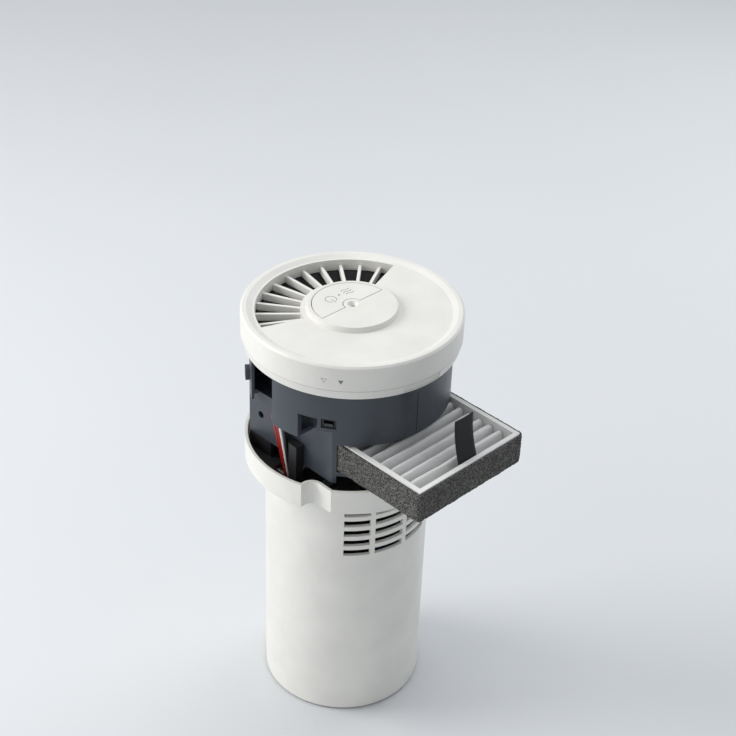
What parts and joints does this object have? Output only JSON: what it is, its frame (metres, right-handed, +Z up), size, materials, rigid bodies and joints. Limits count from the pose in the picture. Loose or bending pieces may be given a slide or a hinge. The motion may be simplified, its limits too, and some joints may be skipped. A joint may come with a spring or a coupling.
{
  "type": "air purifier",
  "caption": "Slim upright air purifier shown opened: round vented head, dark chassis and a pleated filter cartridge drawn out sideways above a slotted cylindrical column",
  "frame": {"origin": "centre of the underside of the base, on the body axis", "axes": "+Z up along the body axis, -Y the way the filter cartridge slides out, +X to the right seen from there"},
  "size_m": [0.09, 0.1142, 0.191],
  "materials": {
    "shell": "moulded",
    "base_plate": "moulded",
    "foot_pad": "matt",
    "base_screws": "zinc",
    "battery_cells": "shrink sleeve",
    "battery_cradle": "moulded",
    "charge_board": "solder mask",
    "charge_header": "moulded",
    "usb_socket": "plated",
    "chassis_tray": "moulded",
    "tray_screws": "zinc",
    "filter_bay": "moulded",
    "chassis_band": "moulded",
    "head_screws": "zinc",
    "cover_switch": "moulded",
    "switch_plunger": "plated",
    "top_cap": "moulded",
    "cap_ring": "moulded",
    "outlet_grille": "moulded",
    "air_duct": "moulded",
    "power_key": "moulded",
    "control_board": "solder mask",
    "board_screws": "zinc",
    "board_header": "moulded",
    "tact_switch": "moulded",
    "tact_plunger": "moulded",
    "status_led": "clear",
    "fan_frame": "moulded",
    "fan_screws": "zinc",
    "motor_stator": "wound copper",
    "fan_bearing": "sintered",
    "fan_rotor": "moulded",
    "fan_shaft": "ground",
    "foam_skirt": "open-cell foam",
    "filter_frame": "card",
    "pleated_media": "pleated fleece",
    "pull_tab": "woven ribbon",
    "red_leads": "wire insulation",
    "white_lead": "wire insulation",
    "black_lead": "wire insulation"
  },
  "bodies": {
    "housing": {"shell": "shell", "base_plate": "base_plate", "foot_pad": "foot_pad", "base_screws": "base_screws", "battery_cells": "battery_cells", "battery_cradle": "battery_cradle", "charge_board": "charge_board", "charge_header": "charge_header", "usb_socket": "usb_socket", "chassis_tray": "chassis_tray", "tray_screws": "tray_screws", "filter_bay": "filter_bay", "chassis_band": "chassis_band", "head_screws": "head_screws", "cover_switch": "cover_switch", "top_cap": "top_cap", "cap_ring": "cap_ring", "outlet_grille": "outlet_grille", "air_duct": "air_duct", "control_board": "control_board", "board_screws": "board_screws", "board_header": "board_header", "tact_switch": "tact_switch", "status_led": "status_led", "fan_frame": "fan_frame", "fan_screws": "fan_screws", "motor_stator": "motor_stator", "fan_bearing": "fan_bearing", "red_leads": "red_leads", "white_lead": "white_lead", "black_lead": "black_lead"},
    "fan": {"fan_rotor": "fan_rotor", "fan_shaft": "fan_shaft"},
    "key": {"power_key": "power_key", "tact_plunger": "tact_plunger"},
    "plunger": {"switch_plunger": "switch_plunger"},
    "filter": {"foam_skirt": "foam_skirt", "filter_frame": "filter_frame", "pleated_media": "pleated_media"},
    "tab": {"pull_tab": "pull_tab"}
  },
  "joints": [
    {"name": "fan_spin", "type": "hinge", "parent": "housing", "child": "fan", "pos_m": [0, 0, 0.16], "axis": [0, 0, 1], "continuous": true},
    {"name": "key_press", "type": "slide", "parent": "housing", "child": "key", "axis": [0, 0, -1], "range_m": [0, 0.0003], "stiffness_N_per_m": 1500, "springref_m": -0.0005},
    {"name": "cover_press", "type": "slide", "parent": "housing", "child": "plunger", "axis": [0.829, 0.5592, 0], "range_m": [0, 0.0003], "stiffness_N_per_m": 800, "springref_m": -0.0005},
    {"name": "filter_slide", "type": "slide", "parent": "housing", "child": "filter", "axis": [0, -1, 0], "range_m": [-0.0422, 0.01]},
    {"name": "tab_fold", "type": "hinge", "parent": "filter", "child": "tab", "pos_m": [0, -0.066, 0.149], "axis": [1, 0, 0], "range_deg": [-79.5, 20], "deforming": ["pull_tab"]}
  ],
  "couplings": [
    {"joint": "tab_fold", "follows": "filter_slide", "rad_per_m": 32.8}
  ]
}
